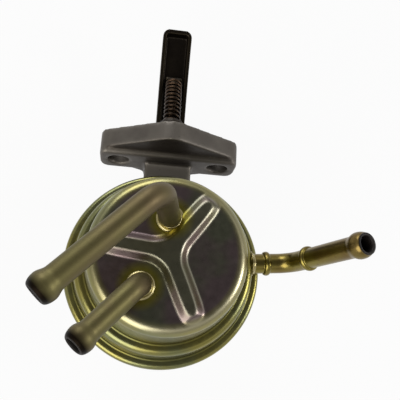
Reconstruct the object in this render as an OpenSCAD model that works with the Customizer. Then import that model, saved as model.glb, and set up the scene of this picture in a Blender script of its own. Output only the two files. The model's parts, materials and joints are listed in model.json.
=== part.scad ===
// Mechanical fuel pump with a rocker arm, a diaphragm and a pressed two-step cover
// Millimetres, +Z up along the diaphragm, +Y into the engine along the rocker arm
// Origin at the middle of the mounting face, between the two bolt holes

/* [Mounting flange] */
// Distance between the two bolt holes
bolt_spacing = 40; // [36:0.5:48]
// Diameter of each bolt hole
bolt_hole = 8.4; // [6:0.1:9]
// Full thickness of the flange at its ends and middle band
flange_t = 9.9; // [8:0.1:14]
// Half height of the flange from the bolt line to its rounded peak
flange_peak = 20.5; // [18:0.5:26]
// Radius of the rounded peak
peak_r = 8; // [5:0.5:10]
// Metal outside the bolt hole centre at each end
flange_end = 7.3; // [6.8:0.1:10]
// Radius of the four end corners
end_corner_r = 4.1; // [2:0.1:5]
// Depth of the two recesses in the back of the flange
recess_depth = 2.2; // [1:0.1:3]
// Half height of the full thickness band between the recesses
band_half = 4.2; // [4:0.1:6]

/* [Housing] */
// From the mounting face to the axis of the diaphragm
axis_reach = 54.5; // [52:0.5:64]
// Height of the cover rim above the bolt line
rim_height = 14; // [12:0.5:18]
// Outer width of the neck
neck_w = 18.6; // [18:0.2:22]
// Wall on each side of the neck
neck_wall = 2.8; // [2:0.1:3]
// Height of the top of the neck above the bolt line
neck_top = 1; // [0:0.1:3]
// Thickness of the clamped edge of the housing
clamp_t = 3.2; // [2.5:0.1:4]
// Wall of the bowl and of the spring well
bowl_wall = 2.5; // [2:0.1:3.5]
// Inner radius of the diaphragm chamber
chamber_r = 26; // [25.5:0.1:26.5]
// Depth of the diaphragm chamber under the clamped edge
chamber_depth = 8.5; // [7:0.5:10]
// Inner radius of the spring well
well_r = 12.5; // [12:0.1:14]
// Inner radius of the link chamber below the well
link_chamber_r = 10; // [9.5:0.1:11]
// Thickness of the web between the well and the link chamber
web_t = 2.5; // [2:0.1:3]
// Diameter of the weep hole in the bowl
weep_d = 3; // [2:0.5:4]

/* [Cover] */
// Outer radius of the rolled rim
rim_r = 35; // [34:0.5:40]
// Thickness of the pressed sheet
sheet = 1.2; // [0.8:0.1:1.4]
// Width of the flat rim outside the lower step
rim_flat = 3.4; // [3:0.1:4]
// Height of the lower step above the rim
step_h = 9; // [8.6:0.1:12]
// Radius at the foot of the dome
dome_r = 27; // [26.6:0.1:28]
// Height of the flat top above the rim
dome_h = 26; // [22:0.5:32]
// Lean of the step wall
step_draft = 0.7; // [0.2:0.1:1.2]
// Lean of the dome wall
dome_draft = 1.1; // [0.5:0.1:2]
// Outer radius of the rounded edges of the step and the dome
edge_round = 2.3; // [1.8:0.1:2.8]
// Height of the three-legged relief on the flat top
relief_h = 2; // [1:0.1:2.5]
// Width of a leg of the relief across its top
leg_w = 3.8; // [3:0.1:5]
// Width of the sloping side of the relief
leg_slope = 2.6; // [1.8:0.1:3]
// Radius of the curve between two legs, along its top edge
leg_curve_r = 8.4; // [7:0.1:10]
// Direction of the first leg, seen from above
leg_turn = 54; // [50:1:58]

/* [Tubes] */
// Outer diameter of the three tubes
tube_d = 7; // [6:0.1:7]
// Wall of the tubes
tube_wall = 1; // [0.7:0.1:1.2]
// Outer diameter of the rounded hose stop at each open end
bulb_d = 8.6; // [8:0.1:9.4]
// Length of the hose stop
bulb_l = 6.4; // [5:0.1:8]
// Outer diameter of the two beads on the side tube
bead_d = 8.6; // [7.8:0.1:9]
// Bend radius of the outlet tube
outlet_bend_r = 8; // [7.6:0.1:9]
// Outlet tube, side to side from the diaphragm axis
outlet_x = -0.3; // [-0.6:0.1:0.6]
// Outlet tube, towards the engine from the diaphragm axis
outlet_y = 11; // [10.5:0.1:11.5]
// Straight riser of the outlet tube above the flat top
outlet_riser = 22; // [18:0.5:24]
// Lean of the riser of the outlet tube to the left
outlet_lean = 9; // [6:0.5:11]
// Angle that the outlet tube turns through in its bend
outlet_bend = 78; // [74:1:90]
// Length of the outlet tube beyond its bend
outlet_run = 36; // [30:1:40]
// Direction of the outlet tube, seen from above
outlet_turn = 228; // [224:1:230]
// Return tube, side to side from the diaphragm axis
return_x = -8; // [-8.2:0.1:-7.4]
// Return tube, towards the engine from the diaphragm axis
return_y = -11; // [-11.5:0.1:-10.5]
// Straight riser of the return tube above the flat top
return_riser = 1.6; // [1.6:0.1:3]
// Length of the return tube beyond its bend
return_run = 22; // [18:1:26]
// Direction of the return tube, seen from above
return_turn = 229; // [224:1:232]
// Bend radius of the return tube
return_bend_r = 6; // [5.6:0.1:7]
// Angle that the return tube turns through in its bend
return_bend = 75; // [70:1:84]
// Height of the side tube above the rim
inlet_z = 4.6; // [4.6:0.1:5]
// Direction of the side tube, seen from above
inlet_turn = 5; // [0:1:10]
// Straight length of the side tube outside the wall
inlet_run = 6.5; // [6:0.5:9]
// Bend radius of the side tube
inlet_bend_r = 8; // [6:0.5:10]
// Angle that the side tube turns through in its bend
inlet_bend = 68; // [60:1:74]
// Length of the side tube beyond its bend
inlet_end = 32; // [26:1:34]
// Lean of the bend of the side tube out of the upright
inlet_lean = 1.2; // [0:0.2:4]

/* [Diaphragm] */
// Thickness of the diaphragm
diaphragm_t = 1; // [0.8:0.1:1.4]
// Radius of the two clamping plates
plate_r = 19; // [17:0.5:19.5]
// Thickness of the clamping plates
plate_t = 1; // [0.8:0.1:1.2]
// Height of the rolled loop of the diaphragm
loop_h = 2.2; // [1.4:0.1:2.4]
// Diameter of the pull rod
rod_d = 4; // [3.4:0.1:4.2]
// Diameter of the button at the foot of the pull rod
button_d = 7; // [6.4:0.1:7.4]
// Thickness of the button
button_t = 2.2; // [1.6:0.1:2.6]
// Mean radius of the diaphragm spring
main_spring_r = 9.6; // [9.2:0.1:10]
// Wire of the diaphragm spring
main_wire = 1.6; // [1.2:0.1:1.8]
// Turns of the diaphragm spring
main_turns = 5; // [4:0.5:6]

/* [Valves] */
// From the diaphragm axis to the centre of each valve
valve_offset = 11.5; // [11:0.1:12.5]
// Radius of the pocket of each valve
valve_pocket_r = 7.5; // [7:0.1:8]
// Thickness of the drilled seat
seat_t = 1.4; // [1.2:0.1:1.8]
// Radius of the valve disc
disc_r = 5.6; // [5.3:0.1:6]
// Thickness of the valve disc
disc_t = 1; // [0.8:0.1:1.2]
// Radius of the stem that guides the disc
stem_r = 1.2; // [1:0.1:1.4]
// Wire of the valve spring
valve_wire = 0.4; // [0.3:0.05:0.5]
// Lift of the disc
valve_lift = 1.2; // [0.8:0.1:1.6]

/* [Rocker] */
// From the mounting face back to the rocker pin
pin_back = 15; // [14:0.5:17]
// Height of the rocker pin below the bolt line
pin_down = 8; // [7:0.5:8.5]
// Diameter of the rocker pin
pin_d = 6; // [5:0.1:6.4]
// Width of the arm at the pin
arm_w = 11.6; // [11:0.1:12]
// Width of the arm near its tip
arm_tip_w = 12.4; // [11.6:0.1:13]
// Reach of the arm tip beyond the mounting face
arm_reach = 50.5; // [44:0.5:56]
// Thickness of the pressed steel of the arm
arm_t = 1.6; // [1.2:0.1:1.8]
// Height of the arm at the mounting face
arm_h = 8.2; // [7:0.1:9]
// Height of the arm at its tip
arm_tip_h = 4.4; // [3.5:0.1:6]
// Rise of the arm from its root to its tip
arm_rise = 13.6; // [11:0.1:16]
// Outer diameter of the arm spring
arm_spring_d = 7; // [6.4:0.1:7.2]
// Wire of the arm spring
arm_wire = 1.1; // [0.8:0.1:1.2]
// Turns of the arm spring
arm_turns = 17; // [13:1:18]
// Place of the spring seat along the arm, from the mounting face
seat_y = 28; // [26:0.5:30]
// Height of the spring hood above the bolt line
hood_z = 4.6; // [4.4:0.1:5]
// Reach of the spring hood beyond the mounting face
hood_out = 7; // [5:0.5:8]
// Drop of the link from the pin to the pull rod
link_drop = 9; // [8:0.5:9.5]
// Thickness of the fork of the link
fork_t = 2.5; // [2:0.1:3]

/* [Clearances] */
// Radial running clearance of the pin and rod
running = 0.05; // [0.02:0.01:0.08]
// Gap between pieces that pass each other
gap = 0.3; // [0.2:0.05:0.4]
// Gap between the fork and the button of the rod
fork_gap = 0.5; // [0.45:0.05:0.7]
// Angle that the cam lifts the arm through
cam_lift = 6; // [4:0.5:6]

/* [Hidden] */
eps = 0.01;
arc_n = 6;

tube_r = tube_d / 2;
bore_r = tube_r - tube_wall;
bulb_r = bulb_d / 2;
bend_draw = 0.05;
bend_lap = 0.3;
tube_in = 1;
bead_at = 5;
collar_w = 0.9;
collar_h = 1.4;

foot_r = rim_r - rim_flat;
step_top_r = foot_r - step_draft;
dome_top_r = dome_r - dome_draft;
step_inner_r = step_top_r - sheet;
rim_edge = 1.6;
foot_fillet = 0.9;
stack_h = diaphragm_t + clamp_t;
skirt_h = 2 * sheet + stack_h;
curl_in = 2.4;
clamp_r = rim_r - rim_edge;
clamp_top = rim_height - sheet - diaphragm_t;
clamp_bottom = clamp_top - clamp_t;

chamber_floor = clamp_bottom - chamber_depth + clamp_t;
chamber_foot_r = chamber_r - 4;
web_top = neck_top - 8;
web_bottom = web_top - web_t;
pin_y = -pin_back;
pin_z = -pin_down;
pin_r = pin_d / 2;
lever_l = axis_reach - pin_back;
fork_z = pin_z - link_drop;
button_top = fork_z - fork_t / 2 - fork_gap;
button_bottom = button_top - button_t;
rod_travel = lever_l * cam_lift * PI / 180;
link_floor = button_bottom - rod_travel - 1;
base_z = link_floor - bowl_wall;

plate_bottom = clamp_top - plate_t;
plate_top = clamp_top + diaphragm_t + plate_t;
rod_r = rod_d / 2;
rivet_r = 3.4;
rivet_h = 1.1;
well_seat_t = 1;

body_r = step_inner_r - 0.2;
gasket_t = 0.6;
body_top = rim_height + step_h - sheet - gasket_t;
body_bottom = clamp_top + diaphragm_t;
body_ring = 3;
deck_bottom = plate_top + rivet_h + 1;
deck_t = 2.6;
deck_top = deck_bottom + deck_t;
pocket_wall = 1.6;
gallery_depth = 1.6;
lobby_h = 3;
spring_room = valve_lift + 4 * valve_wire;
stem_head = 0.8;
valve_depth = disc_t + spring_room + stem_head + 0.5;
lobby_floor = deck_bottom + valve_depth + seat_t;

arm_root_y = pin_y + 7;
arm_root_z = pin_z - 4.8;
window_top = hood_z + arm_spring_d / 2 + gap;
window_bottom = arm_root_z - 2.2;
window_depth = 5.5;
passage_w = neck_w - 2 * neck_wall;
hood_r = arm_spring_d / 2 + 1.2;
hub_r = pin_r + 2;
ear_r = pin_r + 2.5;
arm_spring_r = (arm_spring_d - arm_wire) / 2;
link_half = 2.5;

// Points of an arc about a centre, angles in degrees
function arc(c, r, a0, a1, n = arc_n) =
    [for (i = [0:n]) c + r * [cos(a0 + (a1 - a0) * i / n), sin(a0 + (a1 - a0) * i / n)]];

function flip(list) = [for (i = [len(list) - 1:-1:0]) list[i]];

// The two tangent points of a line that touches two circles on their outer side
function tangent(a, ra, b, rb) =
    let (l = norm(b - a), d = (b - a) / l, n = [d[1], -d[0]], s = (ra - rb) / l, c = sqrt(1 - s * s))
    [a + ra * (c * n + s * d), b + rb * (c * n + s * d)];

// Convex outline that wraps circles given anticlockwise, with true round corners
module wrapped(centres, radii) {
    n = len(centres);
    polygon([for (i = [0:n - 1]) each tangent(centres[i], radii[i], centres[(i + 1) % n], radii[(i + 1) % n])]);
    for (i = [0:n - 1])
        translate(centres[i])
            circle(r = radii[i], $fn = 64);
}

// Extrudes a side view, drawn as [y, z], across X about the middle
module across(w) {
    translate([-w / 2, 0, 0])
        rotate([90, 0, 90])
            linear_extrude(w)
                children();
}

// Extrudes a front view, drawn as [x, z], from y0 to y1
module along(y0, y1) {
    translate([0, y1, 0])
        rotate([90, 0, 0])
            linear_extrude(y1 - y0)
                children();
}

module on_axis(z = 0) {
    translate([0, -axis_reach, z])
        children();
}

module bar_x(w, r) {
    rotate([0, 90, 0])
        cylinder(h = w, r = r, center = true, $fn = 64);
}

// Round wire carried along a centre line, as one closed solid
function wire_ring(p, t, r, sides, axis) =
    let (u = t / norm(t), a = cross(u, axis), v = a / norm(a), w = cross(u, v))
    [for (k = [0:sides - 1]) p + r * (cos(360 * k / sides) * v + sin(360 * k / sides) * w)];

module wire(path, r, sides = 8, axis = [0, 0, 1]) {
    n = len(path);
    rings = [for (i = [0:n - 1])
        each wire_ring(path[i], path[min(i + 1, n - 1)] - path[max(i - 1, 0)], r, sides, axis)];
    skin = [for (i = [0:n - 2], k = [0:sides - 1])
        [i * sides + k, i * sides + (k + 1) % sides,
         (i + 1) * sides + (k + 1) % sides, (i + 1) * sides + k]];
    first = [for (k = [sides - 1:-1:0]) k];
    last = [for (k = [0:sides - 1]) (n - 1) * sides + k];
    polyhedron(points = rings, faces = concat(skin, [first, last]), convexity = 6);
}

// Rise of a coil whose end turns lie nearly flat, from 0 to 1
function coil_rise(s, turns) =
    let (e = 0.75 / turns, f = 0.25)
    s < e ? f * s : s > 1 - e ? 1 - f * (1 - s) : f * e + (s - e) * (1 - 2 * f * e) / (1 - 2 * e);

function coil(r, h, turns, steps) =
    [for (i = [0:turns * steps])
        let (s = i / (turns * steps), a = 360 * i / steps)
        [r * cos(a), r * sin(a), h * coil_rise(s, turns)]];

module coil_spring(r, h, turns, wire_d, steps = 18, sides = 8) {
    translate([0, 0, wire_d / 2])
        wire(coil(r, h - wire_d, turns, steps), wire_d / 2, sides);
}

// Housing: one die casting with bowl, spring well, neck and mounting flange

module flange_outline() {
    ex = bolt_spacing / 2 + flange_end - end_corner_r;
    ez = 4;
    pz = flange_peak - peak_r;
    wrapped([[ex, -ez], [ex, ez], [0, pz], [-ex, ez], [-ex, -ez], [0, -pz]],
            [end_corner_r, end_corner_r, peak_r, end_corner_r, end_corner_r, peak_r]);
}

module recess_outline() {
    x = bolt_spacing / 2 + 2.3;
    polygon([[-x, band_half], [x, band_half], [x - 1.7, band_half + 3.4], [x - 10.3, band_half + 12.3],
             [x - 12, 2 * flange_peak], [12 - x, 2 * flange_peak], [10.3 - x, band_half + 12.3],
             [1.7 - x, band_half + 3.4]]);
}

module flange() {
    difference() {
        along(-flange_t, 0)
            flange_outline();
        for (m = [0, 1])
            mirror([0, 0, m])
                along(-flange_t - 1, recess_depth - flange_t)
                    recess_outline();
    }
}

module neck_side() {
    neck_end = recess_depth - flange_t + 0.8;
    polygon([[-axis_reach, neck_top], [-axis_reach, base_z + 3], [-flange_t - 14, window_bottom - neck_wall],
             [neck_end, window_bottom - neck_wall], [neck_end, neck_top]]);
}

module passage_side() {
    polygon([[-axis_reach, web_bottom - 0.5], [-axis_reach, link_floor + 1], [-flange_t - 16, window_bottom],
             [-window_depth + 1, window_bottom], [-window_depth + 1, neck_top - bowl_wall],
             [-axis_reach + link_chamber_r + 12, neck_top - bowl_wall],
             [-axis_reach + link_chamber_r + 4, web_bottom - 0.5]]);
}

module bowl_outside() {
    on_axis()
        rotate_extrude($fn = 96)
            polygon(concat([[0, base_z + 1.5], [0, clamp_top], [clamp_r, clamp_top], [clamp_r, clamp_bottom]],
                           arc([chamber_r + bowl_wall + 1, clamp_bottom - 1], 1, 90, 180, 3),
                           [[chamber_r + bowl_wall, clamp_bottom - 2],
                            [chamber_foot_r + bowl_wall, chamber_floor - bowl_wall],
                            [well_r + bowl_wall + 1, chamber_floor - bowl_wall - 4],
                            [well_r + bowl_wall, web_bottom]],
                           [[link_chamber_r + bowl_wall, web_bottom - 3]],
                           arc([link_chamber_r + bowl_wall - 2, base_z + 2], 2, 0, -90, 4),
                           [[0, base_z]]));
}

module bowl_inside() {
    on_axis()
        rotate_extrude($fn = 96)
            polygon([[0, clamp_top + 1], [chamber_r, clamp_top + 1], [chamber_r, clamp_bottom],
                     [chamber_foot_r, chamber_floor], [well_r + 0.6, chamber_floor - 1.5],
                     [well_r, web_top], [0, web_top]]);
    on_axis(link_floor)
        cylinder(h = web_bottom - link_floor, r = link_chamber_r, $fn = 64);
    on_axis(web_bottom - 1)
        cylinder(h = web_t + 2, r = rod_r + 4 * running, $fn = 48);
}

module spring_hood() {
    difference() {
        translate([0, hood_out, hood_z])
            rotate([90, 0, 0])
                cylinder(h = hood_out + window_depth, r = hood_r, $fn = 64);
        translate([-hood_r - 1, -window_depth - 1, hood_z - hood_r - 1])
            cube([2 * hood_r + 2, hood_out + window_depth + 2, hood_r + 1]);
    }
}

module housing() color("silver") {
    difference() {
        union() {
            bowl_outside();
            across(neck_w)
                neck_side();
            flange();
            spring_hood();
        }
        bowl_inside();
        across(passage_w)
            passage_side();
        translate([-passage_w / 2, -window_depth, window_bottom])
            cube([passage_w, window_depth + 1, hood_z - window_bottom]);
        translate([0, hood_out + 1, hood_z])
            rotate([90, 0, 0])
                cylinder(h = hood_out + 1 + window_depth, r = arm_spring_d / 2 + gap, $fn = 64);
        for (s = [-1, 1])
            translate([s * bolt_spacing / 2, 1, 0])
                rotate([90, 0, 0])
                    cylinder(h = flange_t + 2, d = bolt_hole, $fn = 48);
        translate([0, pin_y, pin_z])
            bar_x(neck_w + 2, pin_r);
        on_axis(chamber_floor + 2)
            rotate([90, 0, 0])
                cylinder(h = chamber_r + 10, d = weep_d, $fn = 32);
    }
}

// Cover: one pressing with a rolled rim, a step, a dome and a three-legged relief

function cover_outer() = concat(
    [[0, dome_h]],
    arc([dome_top_r - edge_round, dome_h - edge_round], edge_round, 90, 0),
    arc([dome_r + foot_fillet, step_h + foot_fillet], foot_fillet, 180, 270, 4),
    arc([step_top_r - edge_round, step_h - edge_round], edge_round, 90, 0),
    arc([foot_r + foot_fillet, foot_fillet], foot_fillet, 180, 270, 4),
    arc([rim_r - rim_edge, -rim_edge], rim_edge, 90, 0),
    arc([rim_r - rim_edge, rim_edge - skirt_h], rim_edge, 0, -90),
    [[rim_r - rim_edge - curl_in, -skirt_h]]);

function cover_inner() = concat(
    [[0, dome_h - sheet]],
    arc([dome_top_r - edge_round, dome_h - edge_round], edge_round - sheet, 90, 0),
    arc([dome_r + foot_fillet, step_h + foot_fillet], foot_fillet + sheet, 180, 270, 4),
    arc([step_top_r - edge_round, step_h - edge_round], edge_round - sheet, 90, 0),
    arc([foot_r + foot_fillet, foot_fillet], foot_fillet + sheet, 180, 270, 4),
    arc([rim_r - rim_edge, -rim_edge], rim_edge - sheet, 90, 0),
    arc([rim_r - rim_edge, rim_edge - skirt_h], rim_edge - sheet, 0, -90),
    [[rim_r - rim_edge - curl_in, sheet - skirt_h]]);

// The relief: three legs with sloping sides, joined by round coves and cut off by a cone.
// It starts a little below z, so that it merges with the sheet. Only the cone has flat ends:
// what it cuts is drawn past them
module relief(inset, z) {
    below = 0.6;
    past = 0.2;
    slope = leg_slope / relief_h;
    h = relief_h + below;
    top_half = leg_w / 2 - inset;
    foot_half = top_half + slope * h;
    cove_d = (leg_curve_r + leg_w / 2) / sin(60);
    cove_top = leg_curve_r + inset + 0.05;
    cove_foot = cove_top - slope * h;
    knee = cove_d * cos(60) - past;
    end_r = dome_top_r - edge_round - inset - leg_slope;
    translate([0, 0, z - below])
        intersection() {
            cylinder(h = h, r1 = end_r + slope * h, r2 = end_r, $fn = 96);
            difference() {
                union() {
                    for (i = [0:2])
                        rotate([90, 0, leg_turn + 90 + 120 * i])
                            linear_extrude(rim_r)
                                leg_section(foot_half + slope * past, top_half - slope * past, -past, h + past);
                    translate([0, 0, -past])
                        linear_extrude(h + 2 * past)
                            polygon([for (i = [0:2], k = [-1, 1])
                                let (a = leg_turn + 120 * i)
                                knee * [cos(a), sin(a)] + k * foot_half * [-sin(a), cos(a)]]);
                }
                for (i = [0:2])
                    rotate([0, 0, leg_turn + 60 + 120 * i])
                        translate([cove_d, 0, -slope])
                            cylinder(h = h + 2 * slope, r1 = cove_foot - slope * slope,
                                     r2 = cove_top + slope * slope, $fn = 96);
            }
        }
}

module leg_section(foot_half, top_half, z0, z1) {
    polygon([[-foot_half, z0], [foot_half, z0], [top_half, z1], [-top_half, z1]]);
}

module top_cover() color("darkkhaki") {
    on_axis(rim_height)
        difference() {
            union() {
                rotate_extrude($fn = 128)
                    polygon(concat(cover_outer(), flip(cover_inner())));
                relief(0, dome_h);
                for (p = [[outlet_x, outlet_y], [return_x, return_y]])
                    translate([p[0], p[1], dome_h - sheet / 2])
                        cylinder(h = collar_h + sheet / 2, r1 = tube_r + collar_w + 0.4,
                                 r2 = tube_r + collar_w, $fn = 48);
                rotate([0, 90, inlet_turn])
                    translate([-inlet_z, 0, step_top_r - 1])
                        cylinder(h = 2.2, r = tube_r + 0.6, $fn = 48);
            }
            relief(tan(atan(relief_h / leg_slope) / 2) * sheet, dome_h - sheet);
            at_outlet() tube_hole();
            at_return() tube_hole();
            rotate([0, 90, inlet_turn])
                translate([-inlet_z, 0, step_top_r - 4])
                    cylinder(h = 10, r = tube_r, $fn = 48);
        }
}

// Places where the two upper tubes stand on the flat top of the cover

module at_outlet() {
    translate([outlet_x, outlet_y, dome_h])
        rotate([0, -outlet_lean, 0])
            children();
}

module at_return() {
    translate([return_x, return_y, dome_h])
        children();
}

module tube_hole() {
    translate([0, 0, -4])
        cylinder(h = 8, r = tube_r, $fn = 48);
}

// Tubes: a straight start, one bend and a straight end with a rounded hose stop.
// Bending draws the tube a little thinner than its straight ends

module bent(start, bend_r, bend, run, r) {
    cylinder(h = start + bend_lap, r = r, $fn = 48);
    translate([bend_r, 0, start])
        rotate([90, 0, 0])
            rotate([0, 0, 180 - bend])
                rotate_extrude(angle = bend, $fn = 96)
                    translate([bend_r, 0])
                        circle(r = r - bend_draw, $fn = 48);
    tube_end(start, bend_r, bend)
        translate([0, 0, -bend_lap])
            cylinder(h = run + bend_lap, r = r, $fn = 48);
}

module tube_end(start, bend_r, bend) {
    translate([bend_r * (1 - cos(bend)), 0, start + bend_r * sin(bend)])
        rotate([0, bend, 0])
            children();
}

// Rounded stop: swells from the tube, then rolls in to the mouth
function bulb_profile() =
    let (lip = bore_r + 0.35, swell = bulb_r - tube_r)
    concat([for (i = [0:6]) [tube_r + swell * (1 - cos(30 * i)) / 2, bulb_l * (0.5 * i / 6 - 1)]],
           [for (i = [1:6]) [lip + (bulb_r - lip) * cos(15 * i), bulb_l * (0.5 * sin(15 * i) - 0.5)]]);

module bulb() {
    rotate_extrude($fn = 64)
        polygon(concat([[0, -bulb_l]], bulb_profile(), [[0, 0]]));
}

module bead(z) {
    translate([0, 0, z])
        rotate_extrude($fn = 64)
            translate([bead_d / 2 - 1, 0])
                circle(r = 1, $fn = 32);
}

module hose_tube(start, bend_r, bend, run) {
    difference() {
        union() {
            bent(start, bend_r, bend, run - bulb_l / 2, tube_r);
            tube_end(start, bend_r, bend)
                translate([0, 0, run])
                    bulb();
            children();
        }
        translate([0, 0, -1])
            bent(start + 1, bend_r, bend, run + 1, bore_r);
    }
}

module outlet_tube() color("darkkhaki") {
    on_axis(rim_height)
        at_outlet()
            rotate([0, 0, outlet_turn])
                translate([0, 0, -sheet - tube_in])
                    hose_tube(sheet + tube_in + outlet_riser, outlet_bend_r, outlet_bend, outlet_run);
}

module return_tube() color("darkkhaki") {
    on_axis(rim_height)
        at_return()
            rotate([0, 0, return_turn])
                translate([0, 0, -sheet - tube_in])
                    hose_tube(sheet + tube_in + return_riser, return_bend_r, return_bend, return_run);
}

module inlet_tube() color("darkkhaki") {
    start = inlet_run + 2 + foot_r - step_inner_r;
    on_axis(rim_height + inlet_z)
        rotate([0, 90, inlet_turn])
            translate([0, 0, step_inner_r - 0.1])
                rotate([0, 0, 180 + inlet_lean])
                    hose_tube(start, inlet_bend_r, inlet_bend, inlet_end) {
                        bead(foot_r - step_inner_r + bead_at);
                        tube_end(start, inlet_bend_r, inlet_bend)
                            bead(bead_at);
                    }
}

// Valve body with its gasket and two spring-loaded disc valves

module cover_gasket() color("dimgray") {
    on_axis(body_top)
        rotate_extrude($fn = 96)
            translate([dome_top_r - sheet + 0.8, 0])
                square([2.6, gasket_t]);
}

module valve_body() color("lightgray") {
    riser_w = 3.6;
    riser_x = valve_offset + valve_pocket_r + pocket_wall;
    on_axis()
        difference() {
            union() {
                rotate_extrude($fn = 96)
                    polygon([[0, deck_bottom], [body_r - body_ring, deck_bottom], [body_r - body_ring, body_bottom],
                             [body_r, body_bottom], [body_r, deck_bottom], [body_r - gallery_depth, deck_bottom + 0.8],
                             [body_r - gallery_depth, body_top - 1.6], [body_r - 1, body_top - 1],
                             [body_r - 1, body_top], [body_r - body_ring - 1.2, body_top],
                             [body_r - body_ring - 1.2, deck_top], [0, deck_top]]);
                translate([valve_offset, 0, deck_bottom])
                    cylinder(h = lobby_floor + lobby_h + pocket_wall - deck_bottom,
                             r = valve_pocket_r + pocket_wall, $fn = 64);
                translate([-valve_offset, 0, deck_bottom])
                    cylinder(h = deck_t + 1, r = valve_pocket_r + pocket_wall, $fn = 64);
                translate([valve_offset, -riser_w / 2 - pocket_wall, deck_bottom])
                    cube([riser_x + riser_w - valve_offset + pocket_wall / 2, riser_w + 2 * pocket_wall,
                          lobby_floor + lobby_h + pocket_wall - deck_bottom]);
                translate([riser_x, -riser_w / 2 - pocket_wall, deck_bottom])
                    cube([body_r - gallery_depth - riser_x - 0.6, riser_w + 2 * pocket_wall, body_top - deck_bottom]);
            }
            translate([valve_offset, 0, deck_bottom - 1])
                cylinder(h = valve_depth + seat_t + 1, r = valve_pocket_r, $fn = 64);
            translate([valve_offset, 0, lobby_floor - 1])
                cylinder(h = lobby_h + 1, r = valve_pocket_r - 1, $fn = 64);
            translate([-valve_offset, 0, deck_bottom - 1])
                cylinder(h = deck_t + 3, r = valve_pocket_r - 1, $fn = 64);
            translate([-valve_offset, 0, deck_top + 1 - seat_t])
                cylinder(h = seat_t + 1, r = valve_pocket_r, $fn = 64);
            translate([riser_x, -riser_w / 2, deck_bottom + 1.6])
                cube([riser_w - pocket_wall / 2, riser_w, lobby_floor + lobby_h - deck_bottom - 1.6]);
            translate([valve_offset, -riser_w / 2, lobby_floor])
                cube([riser_x - valve_offset + 1, riser_w, lobby_h]);
            translate([riser_x + 1, -riser_w / 2, deck_bottom + 1.6])
                cube([body_r, riser_w, body_top - deck_bottom - 3.6]);
        }
}

// Every valve is drawn with its seat at z = 0 and its disc opening upwards
module valve_seat() {
    difference() {
        cylinder(h = seat_t, r = valve_pocket_r - running, $fn = 64);
        translate([0, 0, -1])
            cylinder(h = seat_t + 2, r = stem_r, $fn = 32);
        for (i = [0:5])
            rotate([0, 0, 60 * i])
                translate([(disc_r + stem_r) / 2, 0, -1])
                    cylinder(h = seat_t + 2, r = 1.1, $fn = 24);
    }
}

module valve_disc() {
    translate([0, 0, seat_t])
        difference() {
            cylinder(h = disc_t, r = disc_r, $fn = 64);
            translate([0, 0, -1])
                cylinder(h = disc_t + 2, r = stem_r + running, $fn = 32);
        }
}

module valve_spring() {
    translate([0, 0, seat_t + disc_t + 0.02])
        coil_spring(stem_r + 0.9, spring_room - 0.04, 3, valve_wire, 12, 6);
}

module valve_stem() {
    cylinder(h = seat_t + disc_t + spring_room, r = stem_r, $fn = 32);
    translate([0, 0, seat_t + disc_t + spring_room])
        cylinder(h = stem_head, r = stem_r + 1.8, $fn = 48);
    translate([0, 0, -0.6])
        cylinder(h = 0.6, r = stem_r + 0.5, $fn = 32);
}

module as_inlet() {
    on_axis(lobby_floor)
        translate([valve_offset, 0, 0])
            mirror([0, 0, 1])
                children();
}

module as_outlet() {
    on_axis(deck_top + 1 - seat_t)
        translate([-valve_offset, 0, 0])
            children();
}

module inlet_valve_seat() color("goldenrod") as_inlet() valve_seat();
module inlet_valve_disc() color("black") as_inlet() valve_disc();
module inlet_valve_spring() color("gray") as_inlet() valve_spring();
module inlet_valve_stem() color("goldenrod") as_inlet() valve_stem();
module outlet_valve_seat() color("goldenrod") as_outlet() valve_seat();
module outlet_valve_disc() color("black") as_outlet() valve_disc();
module outlet_valve_spring() color("gray") as_outlet() valve_spring();
module outlet_valve_stem() color("goldenrod") as_outlet() valve_stem();

// Diaphragm, its two plates, the pull rod and its spring and seal

module diaphragm() color("saddlebrown") {
    inner = plate_r + 0.6;
    outer = chamber_r - 0.6;
    mid = (inner + outer) / 2;
    half = (outer - inner) / 2;
    over = [for (i = [0:12]) [mid - half * cos(15 * i), diaphragm_t + loop_h * sin(15 * i)]];
    under = [for (i = [0:12]) [mid - (half - diaphragm_t * 0.8) * cos(15 * i), loop_h * sin(15 * i)]];
    on_axis(clamp_top)
        rotate_extrude($fn = 96)
            polygon(concat([[rod_r, 0], [rod_r, diaphragm_t]], over, [[clamp_r, diaphragm_t], [clamp_r, 0]],
                           flip(under)));
}

module upper_plate() color("gray") {
    on_axis(clamp_top + diaphragm_t)
        rotate_extrude($fn = 96)
            polygon([[rod_r, 0], [plate_r - 1, 0], [plate_r - 0.3, 0.5], [plate_r - 0.3, plate_t],
                     [plate_r - 1, plate_t], [rod_r, plate_t]]);
}

module lower_plate() color("gray") {
    lip = main_spring_r - main_wire / 2 - 0.6;
    on_axis(plate_bottom)
        rotate_extrude($fn = 96)
            polygon([[rod_r, 0], [rod_r, plate_t], [plate_r, plate_t], [plate_r, 0], [plate_r - 1, 0],
                     [lip, 0], [lip, -1], [lip - plate_t, -1], [lip - plate_t, 0]]);
}

module pull_rod() color("lightgray") {
    on_axis(button_bottom)
        cylinder(h = plate_top - button_bottom, r = rod_r, $fn = 48);
    on_axis(button_bottom)
        cylinder(h = button_t, d = button_d, $fn = 48);
    on_axis(plate_top)
        cylinder(h = rivet_h, r1 = rivet_r, r2 = rivet_r - 1, $fn = 48);
    on_axis(plate_bottom - 1.4)
        cylinder(h = 1.4, r = rod_r + 1.6, $fn = 48);
}

module diaphragm_spring() color("gray") {
    on_axis(web_top + well_seat_t)
        coil_spring(main_spring_r, plate_bottom - web_top - well_seat_t, main_turns, main_wire, 24, 8);
}

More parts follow.
